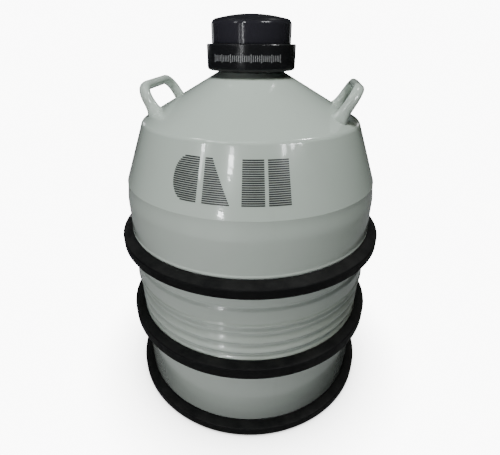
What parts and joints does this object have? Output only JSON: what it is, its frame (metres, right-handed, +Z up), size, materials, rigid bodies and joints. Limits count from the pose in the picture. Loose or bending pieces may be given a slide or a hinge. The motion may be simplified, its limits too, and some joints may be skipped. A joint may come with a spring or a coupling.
{
  "type": "liquid nitrogen dewar",
  "caption": "Wide-bodied vacuum dewar with a conical shoulder, carrying handles, rubber bumper rings, and a narrow neck closed by a lift-off insulated cap over hanging sample canisters.",
  "frame": {"origin": "centre of the base on the floor", "axes": "+Z up along the vessel's axis, -Y towards the front panel, the carrying handles at -X and +X"},
  "size_m": [0.499, 0.499, 0.6995],
  "materials": {
    "grey_paint": "glossy light grey-green enamel",
    "bare_aluminium": "satin machined aluminium",
    "stainless_steel": "drawn stainless steel",
    "black_rubber": "matt moulded rubber",
    "black_plastic": "glossy moulded plastic",
    "red_plastic": "moulded plastic",
    "glass_fibre": "glass-fibre laminate tube",
    "white_foam": "closed-cell foam",
    "foil_wrap": "layered foil and glass paper"
  },
  "bodies": {
    "vessel": {"outer_shoulder": "grey_paint", "outer_cylinder": "grey_paint", "outer_base": "grey_paint", "handle_left": "grey_paint", "handle_right": "grey_paint", "neck_flange": "bare_aluminium", "inner_neck_collar": "bare_aluminium", "inner_vessel_top": "bare_aluminium", "inner_vessel_body": "bare_aluminium", "adsorbent_tray": "bare_aluminium", "canister_locator": "bare_aluminium", "vacuum_port": "bare_aluminium", "vacuum_plug": "bare_aluminium", "index_ring": "bare_aluminium", "insulation_wrap": "foil_wrap", "insulation_top": "foil_wrap", "insulation_base": "foil_wrap", "bumper_ring_upper": "black_rubber", "bumper_ring_middle": "black_rubber", "bumper_ring_lower": "black_rubber", "vacuum_plug_seal": "black_rubber", "collar_ring": "black_plastic", "vacuum_port_cover": "black_plastic", "neck_tube": "glass_fibre"},
    "cap": {"cap_shell": "black_plastic", "neck_plug": "white_foam"},
    "canister_set_1": {"canister_1": "stainless_steel", "canister_rod_1": "stainless_steel", "canister_grip_1": "red_plastic"},
    "canister_set_2": {"canister_2": "stainless_steel", "canister_rod_2": "stainless_steel", "canister_grip_2": "red_plastic"},
    "canister_set_3": {"canister_3": "stainless_steel", "canister_rod_3": "stainless_steel", "canister_grip_3": "red_plastic"},
    "canister_set_4": {"canister_4": "stainless_steel", "canister_rod_4": "stainless_steel", "canister_grip_4": "red_plastic"},
    "canister_set_5": {"canister_5": "stainless_steel", "canister_rod_5": "stainless_steel", "canister_grip_5": "red_plastic"},
    "canister_set_6": {"canister_6": "stainless_steel", "canister_rod_6": "stainless_steel", "canister_grip_6": "red_plastic"}
  },
  "joints": [
    {"name": "cap_lift", "type": "slide", "parent": "vessel", "child": "cap", "axis": [0, 0, 1], "range_m": [0, 0.2]},
    {"name": "canister_1_lift", "type": "slide", "parent": "vessel", "child": "canister_set_1", "axis": [0, 0, 1], "range_m": [0, 0.025]},
    {"name": "canister_2_lift", "type": "slide", "parent": "vessel", "child": "canister_set_2", "axis": [0, 0, 1], "range_m": [0, 0.025]},
    {"name": "canister_3_lift", "type": "slide", "parent": "vessel", "child": "canister_set_3", "axis": [0, 0, 1], "range_m": [0, 0.025]},
    {"name": "canister_4_lift", "type": "slide", "parent": "vessel", "child": "canister_set_4", "axis": [0, 0, 1], "range_m": [0, 0.025]},
    {"name": "canister_5_lift", "type": "slide", "parent": "vessel", "child": "canister_set_5", "axis": [0, 0, 1], "range_m": [0, 0.025]},
    {"name": "canister_6_lift", "type": "slide", "parent": "vessel", "child": "canister_set_6", "axis": [0, 0, 1], "range_m": [0, 0.025]}
  ]
}
